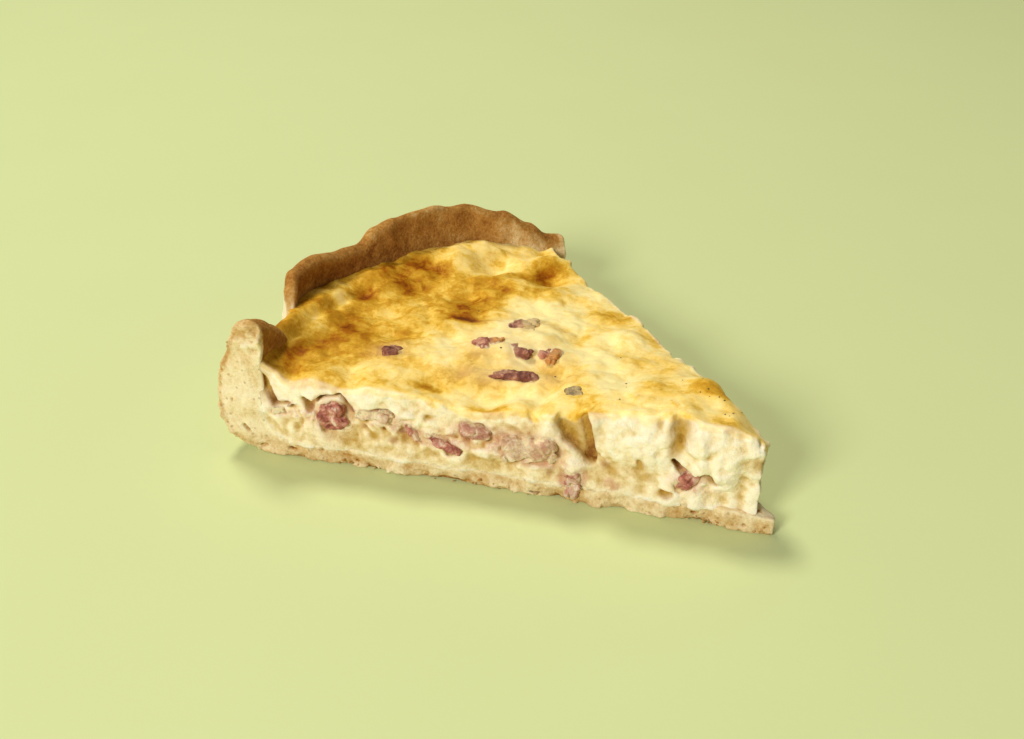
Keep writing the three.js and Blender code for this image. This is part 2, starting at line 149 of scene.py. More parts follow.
# Crevices torn in the front cut: radius, height and half width of the points
# along each, and how deep it goes
FRONT_CREVICES = [
    (((127.6, 25, 0.9), (126.2, 22.6, 1.4), (124.8, 19.6, 1.3), (123.6, 17, 1.2)), 2),
    (((125, 20.6, 0.6), (123.6, 17.7, 1), (123.3, 15.9, 0.9), (121.1, 16.2, 0.6),
      (117.7, 17.6, 0.3)), 4),
    (((115.3, 18.7, 0.6), (114.1, 18.2, 1.1), (113.7, 15.8, 0.6)), 1.8),
    (((113, 17.8, 0.4), (110.3, 20, 0.8), (105.6, 21.2, 0.8), (104.3, 19.8, 1),
      (103.7, 16.6, 1.1), (102.4, 15.1, 0.5)), 2.6),
    (((100.1, 17.8, 0.2), (96.3, 18, 0.5), (91.9, 17.7, 0.3)), 2),
    (((89.2, 16.2, 0.4), (86.4, 16.6, 0.6)), 2.5),
    (((84.8, 15.2, 0.3), (83.4, 17.9, 0.9), (81.1, 18.3, 0.6)), 2.2),
    (((82.6, 13.8, 0.3), (78.4, 11.4, 0.5)), 1.5),
    (((80.9, 9.9, 0.3), (78.4, 8.8, 0.5), (75, 9.6, 0.3)), 1.5),
    (((75, 17.2, 0.4), (69.6, 17.5, 0.6), (67.3, 15.2, 0.3)), 1.6),
    (((64, 16.4, 0.4), (62.6, 18.2, 1), (60.6, 18.4, 0.5)), 1.2),
    (((58.6, 25, 1.3), (57.8, 22.6, 1.1), (57.2, 20.4, 0.4)), 1.8),
    (((47.6, 23, 4), (46.8, 19.4, 3.4), (45.2, 16.4, 2.2), (43.6, 13.4, 1.2)), 2.2),
    (((45, 23.2, 1.6), (44, 19.4, 1.8), (43.6, 16, 1.5), (42.6, 12.8, 0.9)), 2.8),
    (((60, 8.9, 0.3), (56.5, 10, 0.5), (53, 10.8, 0.5)), 1.4),
    (((65.4, 15.4, 0.3), (65.2, 12, 0.5)), 1.4),
    (((17.8, 12.6, 0.7), (15.9, 13.7, 0.9), (14.3, 12.4, 0.7), (13.7, 11.3, 0.4),
      (10.3, 12.3, 0.3), (7, 12.2, 0.2)), 2.6),
    (((23.6, 16.4, 0.6), (21.4, 14, 1), (19.6, 12.6, 0.8)), 1.8),
    (((31.4, 14.6, 0.6), (30.8, 12.4, 1)), 1.2), (((25.8, 7.2, 0.5), (24, 6.6, 0.8)), 1.2),
]

# Small voids in the cut pastry: the same
PASTRY_VOIDS = [
    (((103, 1.6, 0.2), (101, 1.4, 0.5), (98.6, 1.6, 0.3)), 1.6),
    (((113.6, 3.8, 0.2), (111.6, 3.6, 0.4)), 1.4), (((120.4, 2.6, 0.3), (118.8, 2.4, 0.4)), 1.2),
    (((128.6, 2, 0.3), (127.4, 2.2, 0.3)), 1), (((132.4, 8, 0.3), (131, 6.2, 0.2)), 1.2),
    (((136.2, 12.6, 0.2), (135.8, 11, 0.3)), 1), (((135, 16, 0.3), (134.8, 15, 0.3)), 1),
    (((85.6, 1.6, 0.2), (83.8, 1.4, 0.4)), 1.2), (((57.6, 1.2, 0.2), (55.4, 1, 0.5)), 1.4),
    (((34.6, 1.4, 0.2), (32.6, 1.2, 0.4)), 1.2), (((18.4, 2.6, 0.3), (16.8, 2.4, 0.3)), 1),
    (((6.8, 2, 0.3), (5.8, 1.8, 0.5)), 1.2), (((71, 3.4, 0.2), (69.4, 3.2, 0.3)), 1),
]

# Spots on the front cut: radius, height, half width, half height. Olive: painted shade in its
# recesses; rosy: stains from the bacon
OLIVE_SHADE_SPOTS = [
    (22.4, 26, 3, 4.6), (23.4, 20, 1.6, 3), (31, 13.6, 1.4, 2), (29.4, 10.6, 1.4, 1.6),
    (25.6, 6.6, 1.6, 1), (46.6, 20.6, 5, 5), (83.2, 18, 1.6, 1), (62.6, 18.3, 1.6, 1),
    (126.6, 21.6, 2.4, 5), (37, 10.6, 1.2, 1), (27.2, 26.4, 1, 1.4), (66.6, 17.4, 1, 0.8),
    (97.4, 10.4, 1.4, 1.2), (114.6, 17.4, 1, 1.6), (72, 8.4, 0.8, 1.6), (4, 18.6, 2, 2),
]
ROSY_STAINS = [
    (101, 16.6, 5, 1.6), (91.6, 15, 4, 2.4), (85, 11.6, 4, 2), (76, 13.4, 6, 2.8), (66, 14.4, 4, 3.4),
    (52, 11.4, 4, 2.6), (49.4, 7.6, 2, 3.6), (44.6, 8, 1.6, 3), (63, 10.4, 4, 1.6), (117, 14, 4, 1.6),
    (37.6, 7, 2.4, 2), (17, 9.6, 4, 1.4), (96, 13.6, 3, 1),
]
# Dark brown spots: painted shade in the front cut's crevices and along the bacon's edges
BROWN_SHADE_SPOTS = [
    (58.6, 9.4, 1.6, 0.8), (54.8, 10.2, 2, 1), (52.8, 8.4, 0.9, 2), (57.6, 22.6, 0.9, 1.8),
    (43.2, 15, 1.1, 2.4), (92.4, 10, 1.2, 1), (84.2, 1.3, 1.4, 0.9), (39.4, 12.2, 1.2, 1.2),
    (123.6, 17, 1.6, 2.2), (104.2, 18.4, 1, 2.4), (114.4, 18, 1, 1), (42.4, 3.9, 1.4, 0.9),
    (39.7, 2.6, 1.2, 0.8), (47.4, 4, 2, 3), (50.6, 14, 1, 1.2), (70.6, 3, 1.4, 0.6),
    (100, 12.6, 1, 0.8), (49.6, 6.8, 1, 2.4), (120, 16.6, 2.4, 0.8), (96.2, 17.8, 4, 0.7),
    (43.6, 22, 0.8, 2),
]

# Lumps of the torn custard and of the pastry's crumb: size in millimetres,
# roundness, unevenness and seed
CURDS = ((6.5, 0.2, 0.16, 31), (3.2, 0.24, 0.2, 32), (1.6, 0.26, 0.2, 33), (0.9, 0.2, 0.16, 36))
TOP_BLISTERS = ((4.6, 0.1, 0.04, 37), (2.2, 0.12, 0.05, 38))
PASTRY_CRUMBS = ((3.4, 0.22, 0.16, 34), (1.7, 0.3, 0.2, 35))

CREVICE_TAPER = 0.25  # how much narrower a crevice gets with each millimetre of depth

# Bacon at the front cut: radius, height, size along the cut, into the slice and
# upwards, turn about the depth, how far it stands out, and its look
FRONT_BACON = [
    (122.6, 13.9, (3.8, 4, 2), 8, 0.6, "coated"),
    (108.4, 14.4, (7.4, 8, 8.6), 20, 1.5, "rosy"),
    (96.2, 16.4, (8.8, 6, 2.4), -3, 0.8, "coated"),
    (87.2, 12.9, (6.6, 6, 1.7), -60, 0.8, "rosy"),
    (80, 11.2, (9.4, 6, 1.7), -22, 0.7, "rosy"),
    (71.2, 16, (7.4, 5, 2.8), -8, 0.6, "faded"),
    (58.2, 13.8, (12.2, 7, 6.6), 10, 1.7, "coated"),
    (46.8, 5.8, (3.6, 5, 6.8), 4, 1, "faded"),
    (20.4, 11, (5.6, 5, 3.4), 40, 0.3, "rosy"),
]

# Pieces in the top: radius, angle, size, how far they stand out, turn, tilt,
# look, and how thickly custard crept over them
TOP_PIECES = {
    "bacon_top_1": (100, 10.9, (5.6, 4.4, 4), 0.7, 30, 10, "dark", 0.3),
    "bacon_top_2": (80.2, 19.8, (9, 5.4, 5), 1.2, 24, 6, "tan_end", 0.4),
    "bacon_top_3": (81.6, 30.4, (8.2, 4.6, 5), 1.1, 6, 0, "pale_end", 0.5),
    "bacon_top_4": (72.4, 21.2, (6.8, 4.2, 4.4), 0.8, 4, 4, "dark", 0.6),
    "bacon_top_5": (65, 25.2, (6, 5.2, 4.8), 1.1, -26, -6, "tan_end", 0.4),
    "bacon_top_6": (68.4, 13.6, (15, 3.8, 4.2), 0.9, 4, 0, "dark", 0.4),
    "leek_top": (50.6, 11.4, (4.6, 3.8, 2.2), 0.5, 20, 0, "leek", 0),
}

# Creamy film around the pieces in the top: radius, angle, reach, share, stretch
# and the turn of the stretch
FILM_SPOTS = [
    (76.6, 21.4, 7, 0.5, 1.5, 8), (68, 24, 6, 0.45, 1.4, -10), (80.6, 29, 5, 0.4, 1.5, 6),
    (71.6, 16.4, 2.6, 0.4, 3, 4), (100, 11.4, 3.4, 0.25, 1.3, 20),
]

# How baked the parts of the pastry look, from raw at 0 to dark at 1; the base's cut is also darker
# low down with painted shade near the floor
BAKE = {
    "outside_low": 0.3, "outside_high": 0.42, "notch": 0.1, "inside": 0.75, "inside_back": 0.42,
    "crest": 0.68, "section_low_and_shade": 0.34, "section": 0.17, "skin": 0.48, "broken": 0.46,
}

# Flecks of pepper and herbs on the top: radius, angle and length
FLECKS = [
    (51.6, 36.1, 0.9), (41.6, 24.1, 0.7), (39.9, 20.3, 0.6), (38.6, 10.9, 0.8), (23.8, 33.3, 0.7),
    (23.2, 38.4, 0.9), (19.8, 39.1, 0.8), (18.4, 40.1, 0.7), (14.3, 46.6, 0.6), (14.6, 24.4, 0.9),
    (13.4, 23.8, 0.6), (13.7, 32.3, 0.7), (76.6, 30.1, 0.7), (75.6, 19, 0.8), (59.2, 18.7, 0.9),
    (27.6, 43.5, 0.6), (21.4, 34.6, 0.5), (31.2, 37.4, 0.5), (96.8, 29.6, 0.6), (101.6, 37, 0.6),
]

# Crumbs that cling to the front cut along the base and to the tip: how many,
# and their smallest and largest size
CRUMB_COUNT = 90
CRUMB_SIZES = (0.5, 1.5)

# Layers of noise, each a size and a depth: the relief that the solids share,
# and the frayed edges of the browned crust, the top skin and the smears
CRAGS = ((7, 0.9), (3.6, 0.4))
CRUST_FRAY = ((2.4, 1.6), (0.9, 0.8))
CUSTARD_FRAY = ((1.3, 0.7), (3.4, 0.9))
COAT_FRAY = ((1.3, 0.5), (0.5, 0.3))

TIP_FADE = 9  # the relief fades in over this radius
RELIEF_REACH = 5  # how deep behind the cuts their relief is worked out
OUTERMOST = 146  # and out to which radius
FRONT_SEED = 60  # first seeds of the bacon at the cut and of the pieces in the top
TOP_SEED = 100

# How far out of the custard its smears reach on each look of bacon
COAT_REACH = {
    "coated": 1, "faded": 0.7, "rosy": 0.5,
    "dark": 0.25, "tan_end": 0.25, "pale_end": 0.25, "leek": 0.1,
}

# Camera, fitted to the photograph's view: 31 degrees above the slice
CAMERA_AT = (-3.0, -221.9, 172.7)
CAMERA_LOOKS_AT = (-77.1, 56.6, 0)
CAMERA_LENS = 40.98

# Soft lights: azimuth, elevation, distance, size, power and colour
LIGHTS = {
    "key": (138, 62, 1.6, 0.45, 15, (1.0, 0.97, 0.93)),
    "front": (-110, 30, 1.5, 0.45, 17, (0.98, 0.97, 1.0)),
}
WORLD_LIGHT = 0.2


def blend(a, b, share):
    return a + (b - a) * share


def ease(value, low=0.0, high=1.0):
    """0 below low, 1 above high and smooth between them."""
    share = np.clip((value - low) / (high - low), 0, 1)
    return share * share * (3 - 2 * share)


def table(rows, at, column=1):
    """The value of a table's column, smooth between its rows."""
    places = rows[:, 0]
    after = np.clip(np.searchsorted(places, at), 1, len(places) - 1)
    low, high = places[after - 1], places[after]
    share = ease((at - low) / (high - low))
    return blend(rows[after - 1, column], rows[after, column], share)


def lattice(i, j, k):
    wave = np.sin(i * 127.1 + j * 311.7 + k * 74.7) * 43758.5453
    return 2 * (wave - np.floor(wave)) - 1


def value_noise(x, y, z):
    """Repeatable noise from -1 to 1 that changes over a distance of about 1."""
    x, y, z = np.broadcast_arrays(x, y, z)
    i, j, k = np.floor(x), np.floor(y), np.floor(z)
    u, v, w = ease(x - i), ease(y - j), ease(z - k)

    def row(dj, dk):
        return blend(lattice(i, j + dj, k + dk), lattice(i + 1, j + dj, k + dk), u)

    return blend(blend(row(0, 0), row(1, 0), v), blend(row(0, 1), row(1, 1), v), w)


def layered_noise(layers, x, y, z):
    """Noise added up from layers that each have a size and a depth."""
    return sum(depth * value_noise(x / size, y / size, z / size) for size, depth in layers)


def spline_weights(places, size):
    """A matrix that spreads lattice values, one every size, over the places."""
    cell = places / size
    first = np.floor(cell)
    t = cell - first
    column = (first - first.min()).astype(int)
    weights = (
        (1 - t) ** 3 / 6,
        (3 * t**3 - 6 * t**2 + 4) / 6,
        (-3 * t**3 + 3 * t**2 + 3 * t + 1) / 6,
        t**3 / 6,
    )
    matrix = np.zeros((len(places), column.max() + 4), np.float32)
    for shift, weight in enumerate(weights):
        matrix[np.arange(len(places)), column + shift] = weight
    return matrix


class Grid:
    """A box of cells, with its coordinates and smooth noise over them."""

    def __init__(self, low, high, step):
        self.low = np.array(low, float)
        self.step = step
        counts = np.ceil((np.array(high) - self.low) / step).astype(int) + 1
        self.axes = [self.low[i] + step * np.arange(counts[i]) for i in range(3)]
        self.x = self.axes[0][:, None, None].astype(np.float32)
        self.y = self.axes[1][None, :, None].astype(np.float32)
        self.z = self.axes[2][None, None, :].astype(np.float32)
        self.flat = self.x[:, :, 0], self.y[:, :, 0]

    def noise(self, size, seed, axes=3):
        """Smooth noise with a spread of 1; size may differ along the axes."""
        sizes = np.broadcast_to(size, axes)
        weights = [spline_weights(self.axes[i], sizes[i]) for i in range(axes)]
        rng = np.random.default_rng(seed)
        field = rng.uniform(-1, 1, [w.shape[1] for w in weights]).astype(np.float32)
        for matrix in weights:
            field = np.tensordot(field, matrix, (0, 1))
        return field / field.std()

    def noise_flat(self, size, seed):
        """The same over x and y alone."""
        return self.noise(size, seed, 2)

    def sample(self, field, points):
        """A field's value at points, three or two axes, between its cells."""
        count = field.ndim
        place = (points[:, :count] - self.low[:count]) / self.step
        limit = np.array(field.shape) - 2
        first = np.clip(np.floor(place).astype(int), 0, limit)
        share = np.clip(place - first, 0, 1)
        total = np.zeros(len(points))
        for corner in np.ndindex(*(2,) * count):
            weight = np.ones(len(points))
            for axis, side in enumerate(corner):
                weight *= share[:, axis] if side else 1 - share[:, axis]
            index = tuple(first[:, axis] + side for axis, side in enumerate(corner))
            total += weight * field[index]
        return total


def lumps(points, size, seed):
    """Where points lie among scattered centres about a size apart: how far the
    nearest is, how much nearer than the next one, and a number of its own."""
    place = points / size
    first = np.floor(place).astype(int)
    low = first.min(0) - 1
    counts = first.max(0) - low + 2
    rng = np.random.default_rng(seed)
    centres = rng.uniform(0.1, 0.9, (*counts, 3))
    numbers = rng.uniform(-1, 1, counts)
    nearest = np.full(len(points), 9.0)
    second = nearest.copy()
    number = np.zeros(len(points))
    for step in np.ndindex(3, 3, 3):
        cell = first + np.array(step) - 1
        index = tuple((cell - low).T)
        far = np.linalg.norm(cell + centres[index] - place, axis=1)
        closer = far < nearest
        second = np.where(closer, nearest, np.minimum(second, far))
        number = np.where(closer, numbers[index], number)
        nearest = np.minimum(nearest, far)
    return nearest, second - nearest, number


def crumbled(points, layers):
    """Depth of a surface made of lumps: size, roundness, unevenness and seed."""
    depth = np.zeros(len(points))
    for size, roundness, unevenness, seed in layers:
        nearest, gap, number = lumps(points, size, seed)
        depth += size * roundness * (nearest**2 - 0.2)
        depth += size * unevenness * number * ease(gap, 0, 0.25)
    return depth


def soft_max(a, b, radius):
    """The larger of two distances, rounded where they meet."""
    share = np.clip(0.5 + 0.5 * (a - b) / radius, 0, 1)
    return blend(b, a, share) + radius * share * (1 - share)


def smoothed(field, rounds=1):
    """A field with each cell evened out with its neighbours."""
    for _ in range(rounds):
        for axis in range(3):
            ahead = np.roll(field, -1, axis)
            behind = np.roll(field, 1, axis)
            field = 0.5 * field + 0.25 * (ahead + behind)
    return field


def spread(field, reach):
    """A field averaged over a cube of cells that reaches this far each way."""
    for axis in range(3):
        last = field.shape[axis] - 1
        cells = np.arange(last + 1)
        total = np.cumsum(field, axis, dtype=np.float64)
        ahead = np.take(total, np.minimum(cells + reach, last), axis)
        behind = np.take(total, np.maximum(cells - reach - 1, 0), axis)
        field = ((ahead - behind) / (2 * reach + 1)).astype(np.float32)
    return field


def round_in(share):
    """How far a quarter circle has come in, from 0 to 1."""
    return 1 - np.sqrt(np.clip(1 - share * share, 0, None))


class Slice:
    """The slice's surfaces over a grid, as the solids have them."""

    def __init__(self, grid):
        self.grid = grid
        x, y = grid.flat
        self.radius = np.hypot(x, y)
        self.angle = np.clip(np.degrees(np.arctan2(y, -x)), 0, WEDGE)
        self.rim = {c: table(RIM, self.angle, c) for c in range(1, 6)}
        self.front = -y + 0 * x
        self.back = x * math.sin(math.radians(WEDGE)) + y * math.cos(math.radians(WEDGE))
        self.top = self.top_height(x, y)

    def top_height(self, x, y):
        share = self.angle / WEDGE
        height = blend(table(FILL_FRONT, self.radius), table(FILL_BACK, self.radius), share)
        height = height + 4 * share * (1 - share) * table(FILL_SWELL, self.radius)
        height = add_patches(height, x, y, TOP_FORMS)
        return height + 0.6 * layered_noise(CRAGS, x, y, 0 * x)

    def wall(self, height, side):
        """The wall's outer (side 1) or inner (side -1) radius at one height."""
        low, size, inset = FOOT if side > 0 else COVE
        rim = self.rim
        near_floor = min(max(1 - (height - low) / size, 0), 1)
        upright = (rim[OUTER] if side > 0 else rim[INNER]) - inset * round_in(near_floor)
        lean = ease((height - LEAN_FROM) / (rim[HEIGHT] - LEAN_FROM))
        rounding = np.clip((height - rim[HEIGHT] + rim[HALF]) / rim[HALF], 0, 1)
        crest = rim[CREST] + side * rim[HALF] * (CREST_FULLNESS - round_in(rounding))
        return blend(upright, crest, lean)

    def walls(self):
        """Distances outside the wall's outer face and outside its inner face."""
        heights = self.grid.axes[2]
        outer = np.stack([self.radius - self.wall(z, 1) for z in heights], -1)
        inner = np.stack([self.radius - self.wall(z, -1) for z in heights], -1)
        return outer.astype(np.float32), inner.astype(np.float32)

    def relief(self, layers, seed):
        """The cuts' crumbled depth over the grid, worked out near them alone."""
        grid = self.grid
        cut = np.maximum(self.front, self.back)
        near = (cut > -RELIEF_REACH) & (cut < FAR) & (self.radius < OUTERMOST)
        columns = np.nonzero(near)
        count = len(grid.axes[2])
        points = np.empty((len(columns[0]), count, 3))
        points[:, :, 0] = grid.axes[0][columns[0]][:, None]
        points[:, :, 1] = grid.axes[1][columns[1]][:, None]
        points[:, :, 2] = grid.axes[2]
        bends = [grid.noise(4, seed + axis)[columns] for axis in range(3)]
        points = points + 0.55 * np.stack(bends, -1)
        depth = np.zeros((*cut.shape, count), np.float32)
        depth[columns] = crumbled(points.reshape(-1, 3), layers).reshape(-1, count)
        return depth

    def torn(self, side):
        """How far the cut on a side stands out of its plane, over the grid."""
        radii = np.arange(0, 150, 0.5)
        heights = self.grid.axes[2]
        fade = np.clip((radii - 1) / TIP_FADE, 0, 1)
        crags = layered_noise(CRAGS, radii[:, None], 50.0 * side, heights[None, :])
        relief = fade[:, None] * crags
        levels = [np.interp(self.radius, radii, relief[:, k]) for k in range(len(heights))]
        return np.stack(levels, -1).astype(np.float32)


def rim_break(radius):
    return RIM_BREAK * ease(radius, RIM_BREAK_FROM, RIM_BREAK_TO)


def turned_flat(u, v, degrees):
    cos, sin = math.cos(math.radians(degrees)), math.sin(math.radians(degrees))
    return u * cos + v * sin, v * cos - u * sin


def patch(x, y, radius, angle, reach, stretch, turn):
    """A soft spot of height 1 about a place, longer along its turn."""
    middle = math.radians(angle)
    dx = x + radius * math.cos(middle)
    dy = y - radius * math.sin(middle)
    along, across = turned_flat(dx, dy, turn)
    far = np.hypot(along / stretch, across) / reach
    return np.exp(-far * far)


def add_patches(field, x, y, rows):
    """Raise a field by soft spots: radius, angle, reach, height, stretch and turn."""
    for radius, angle, reach, rise, stretch, turn in rows:
        field = field + rise * patch(x, y, radius, angle, reach, stretch, turn)
    return field


def blots(spots, radius, height):
    """1 on spots of the front cut, with soft edges."""
    total = 0 * (radius + height)
    for at, level, width, tall in spots:
        far = ((radius - at) / width) ** 2 + ((height - level) / tall) ** 2
        total = np.maximum(total, np.exp(-(far**1.5)))
    return total


def crevice(points, depth, x, y, z):
    """Distance outside a crevice in the front cut, which gets narrower inwards."""
    nearest = FAR
    for (r0, h0, w0), (r1, h1, w1) in zip(points, points[1:]):
        along = np.array((r0 - r1, h1 - h0))
        dx, dz = x + r0, z - h0
        share = np.clip((dx * along[0] + dz * along[1]) / (along @ along), 0, 1)
        far = np.hypot(dx - share * along[0], dz - share * along[1])
        nearest = np.minimum(nearest, far - blend(w0, w1, share))
    return np.maximum(nearest + CREVICE_TAPER * np.maximum(y, 0), y - depth)


def carve(grid, field, points, depth, uneven):
    """Take a crevice out of a field, with an uneven edge."""
    radii, heights, widths = np.array(points).T
    middle = (radii.max() + radii.min()) / 2, (heights.max() + heights.min()) / 2
    reach = max(np.ptp(radii), np.ptp(heights)) / 2 + widths.max() + 2
    box = beside(grid, *middle, reach, depth + 2)
    hollow = crevice(points, depth, grid.x[box[0]], grid.y[:, box[1]], grid.z[:, :, box[2]])
    field[box] = np.maximum(field[box], -hollow - uneven[box])


def crust_field(food, outer, inner):
    grid = food.grid
    x, z = grid.x, grid.z
    waves = 0.35 * grid.noise(14, 11) + 0.2 * grid.noise(5, 12)
    grain = 0.06 * grid.noise(1.5, 13) + 0.1 * grid.noise(2.6, 14)
    field = np.maximum(outer, np.minimum(z - BASE_THICKNESS, -inner))
    field = np.maximum(field, (z - food.rim[HEIGHT][:, :, None]).astype(np.float32))
    field = smoothed(field, 2) + waves * ease(z, 1, 6)
    field = smoothed(field, 1) + grain * ease(z, 0.4, 2)

    # the cuts: fine crumbs inside, coarse ones along the outer skin, the base's
    # underside and the broken rim
    skin = np.maximum(ease(outer, -2.8, -0.6), ease(-z, -2.2, -0.3))
    broken = np.maximum(ease(z, 28.5, 30.5), 0.8 * skin)
    floor = 0.45 * ease(-z, -6.5, -4.5)
    relief = np.clip(np.maximum(1.35 * broken, floor), 0.24, 2) * food.relief(PASTRY_CRUMBS, 15)
    breaks = rim_break(food.radius)
    tip = CRUST_TIP_HALF_WIDTH * np.exp(-food.radius / 10)
    front = food.front[:, :, None] - tip[:, :, None] - food.torn(-1)
    back = food.back[:, :, None] - (tip + breaks)[:, :, None] - food.torn(1)
    cuts = np.maximum(front, back) + relief
    field = soft_max(field, cuts, 0.35)
    field = np.maximum(field, x - CRUST_TIP + 0.5 * relief)
    field = np.maximum(field, -z)
    uneven = 0.2 * grid.noise(1.6, 16)
    for points, depth in PASTRY_VOIDS:
        carve(grid, field, points, depth, uneven)
    return np.clip(field, -FAR, FAR).astype(np.float32)


def beside(grid, radius, height, reach, depth):
    """The cells near a place on the front cut, as three slices."""
    x, y, z = grid.axes
    inside = (np.abs(x + radius) < reach, y < depth, np.abs(z - height) < reach)
    return tuple(slice(int(i.argmax()), int(i.argmax() + i.sum())) for i in inside)


def film(food):
    """Custard that crept up on the pieces in the top, 1 where they lie."""
    x, y = food.grid.flat
    covered = 0 * x * y
    for radius, angle, size, _, turn, _, _, share in TOP_PIECES.values():
        stretch = size[0] / size[1]
        soft = patch(x, y, radius, angle, size[1] / 2 + FILM_REACH, stretch, turn)
        covered = np.maximum(covered, share * soft)
    for radius, angle, reach, share, stretch, turn in FILM_SPOTS:
        covered = np.maximum(covered, share * patch(x, y, radius, angle, reach, stretch, turn))
    return covered


def bake_top(food):
    """Give the top its wrinkles, folds and blisters, and the film over its pieces."""
    grid = food.grid
    x, y = grid.flat
    wrinkles = 0.18 * grid.noise_flat(4.2, 21) + 0.072 * grid.noise_flat(1.9, 22)
    folds = 0.55 * (0.8 - np.abs(grid.noise_flat(8, 23))) * ease(food.radius, 34, 70)
    points = np.stack(np.broadcast_arrays(x, y, np.float32(0)), -1).reshape(-1, 3)
    blisters = crumbled(points, TOP_BLISTERS).reshape(food.top.shape)
    corner = CORNER_WEAR * patch(x, y, *WORN_CORNER)
    food.film = film(food)
    food.seat = food.top + wrinkles - folds - blisters - corner
    food.top = food.seat + FILM_DEPTH * food.film * (1 + grid.noise_flat(2.4, 29))


def custard_relief(food, inner):
    """Depth of the torn cuts: curds, smoother under the top skin, low down and
    towards the tip."""
    grid = food.grid
    z = grid.z
    under_top = ease(z, food.top[:, :, None] - 6.5, food.top[:, :, None] - 3)
    rough = 1.1 - 0.7 * under_top * ease(food.radius, 58, 66)[:, :, None]
    rough = rough * blend(0.32, 1, ease(z, 8, 13))
    rough = rough * blend(0.6, 1, ease(food.radius, 38, 56))[:, :, None]
    rough = rough * blend(0.25, 1, ease(np.minimum(z - BASE_THICKNESS, -inner), 0, 3.5))
    streaks = 0.6 * grid.noise((1.9, 3, 8), 27) * ease(-food.radius, -34, -24)[:, :, None]
    relief = rough * food.relief(CURDS, 24) + streaks + 0.12 * grid.noise(1.4, 26)
    for radius, height, width, tall, proud in FRONT_FORMS:
        far = ((grid.x + radius) / width) ** 2 + ((z - height) / tall) ** 2
        relief = relief - proud * np.exp(-far * far) * ease(-grid.y, -6, -3)
    return relief


def custard_field(food, inner):
    bake_top(food)
    grid = food.grid
    x, z = grid.x, grid.z
    top = 0.85 * (z - food.top[:, :, None])
    relief = custard_relief(food, inner)
    front = food.front[:, :, None] - food.torn(-1)
    back = food.back[:, :, None] - food.torn(1)
    cuts = np.maximum(front, back) + relief
    field = soft_max(top, cuts, 0.7)
    field = np.maximum(field, x + FILL_TIP_RADIUS + 0.6 * relief)
    field = np.maximum(field, inner - CUSTARD_OVERLAP)
    field = np.maximum(field, BASE_THICKNESS - CUSTARD_OVERLAP - z)
    field = np.clip(field, -FAR, FAR).astype(np.float32)

    uneven = 0.28 * grid.noise(2, 28)
    for points, depth in FRONT_CREVICES:
        carve(grid, field, points, depth, uneven)
    for radius, height, size, turn, *_ in FRONT_BACON:
        box = beside(grid, radius, height, max(size) / 2 + 2, 1.5)
        u, v = turned_flat(grid.x[box[0]] + radius, grid.z[:, :, box[2]] - height, turn)
        outside = np.maximum(np.abs(u) - size[0] / 2, np.abs(v) - size[2] / 2)
        cleared = np.minimum(-0.35 - outside - 1.3 * uneven[box], 0.7 - grid.y[:, box[1]])
        field[box] = np.maximum(field[box], cleared)
    return blend(field, smoothed(field, 1), 0.6)


def bacon_field(grid, size, seed):
    """A torn block about the grid's middle."""
    half = np.array(size) / 2
    power = 5
    total = (
        np.abs(grid.x / half[0]) ** power
        + np.abs(grid.y / half[1]) ** power
        + np.abs(grid.z / half[2]) ** power
    )
    field = (total ** (1 / power) - 1) * half.min()
    share = min(half.min() / 2.4, 1)
    points = np.stack(np.broadcast_arrays(grid.x, grid.y, grid.z), -1).reshape(-1, 3)
    shreds = crumbled(points, ((2.6, 0.18, 0.16, seed), (1.2, 0.2, 0.16, seed + 1)))
    shreds += share * crumbled(points, ((4.6, 0.12, 0.16, seed),))
    relief = shreds.reshape(field.shape) + 0.3 * grid.noise(3, seed)
    return np.clip(field + share * relief, -FAR, FAR).astype(np.float32)


def largest_body(count, quads):
    """Which vertices belong to the largest connected body."""
    label = np.arange(count)
    edges = np.concatenate([quads[:, [0, 1]], quads[:, [1, 2]], quads[:, [2, 3]]])
    while True:
        low = np.minimum(label[edges[:, 0]], label[edges[:, 1]])
        before = label.copy()
        np.minimum.at(label, edges[:, 0], low)
        np.minimum.at(label, edges[:, 1], low)
        label = label[label]
        if (label == before).all():
            break
    names, counts = np.unique(label, return_counts=True)
    return label == names[counts.argmax()]


def surface(grid, field):
    """The zero surface of a field: points in millimetres and its faces."""
    volume = openvdb.FloatGrid(background=FAR)
    volume.copyFromArray(field, tolerance=0.0)
    points, _, quads = volume.convertToPolygons(isovalue=0.0, adaptivity=0.0)
    points = grid.low + points * grid.step
    quads = quads.astype(int)
    kept = largest_body(len(points), quads)
    quads = quads[kept[quads[:, 0]]]
    order = np.cumsum(kept) - 1
    return points[kept], order[quads]


def mesh_piece(name, points, faces, node, material, values=None):
    """A mesh in the part's frame, from millimetres about the tart's centre."""
    mesh = bpy.data.meshes.new(name)
    placed = (points + np.array(TART_CENTRE)) * MM
    corners = placed[faces]
    normal = np.cross(corners[:, 1] - corners[:, 0], corners[:, 2] - corners[:, 0])
    if (normal * (corners[:, 0] - placed.mean(0))).sum() < 0:
        faces = faces[:, ::-1]
    mesh.from_pydata(placed.tolist(), [], faces.tolist())
    mesh.polygons.foreach_set("use_smooth", np.ones(len(mesh.polygons), bool))
    for key, value in (values or {}).items():
        attribute = mesh.attributes.new(key, "FLOAT", "POINT")
        attribute.data.foreach_set("value", np.asarray(value, np.float32))
    mesh.materials.append(material)
    mesh.validate()
    piece = bpy.data.objects.new(name, mesh)
    bpy.context.scene.collection.objects.link(piece)
    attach(piece, "root")
    if node:
        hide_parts(node)
    return piece


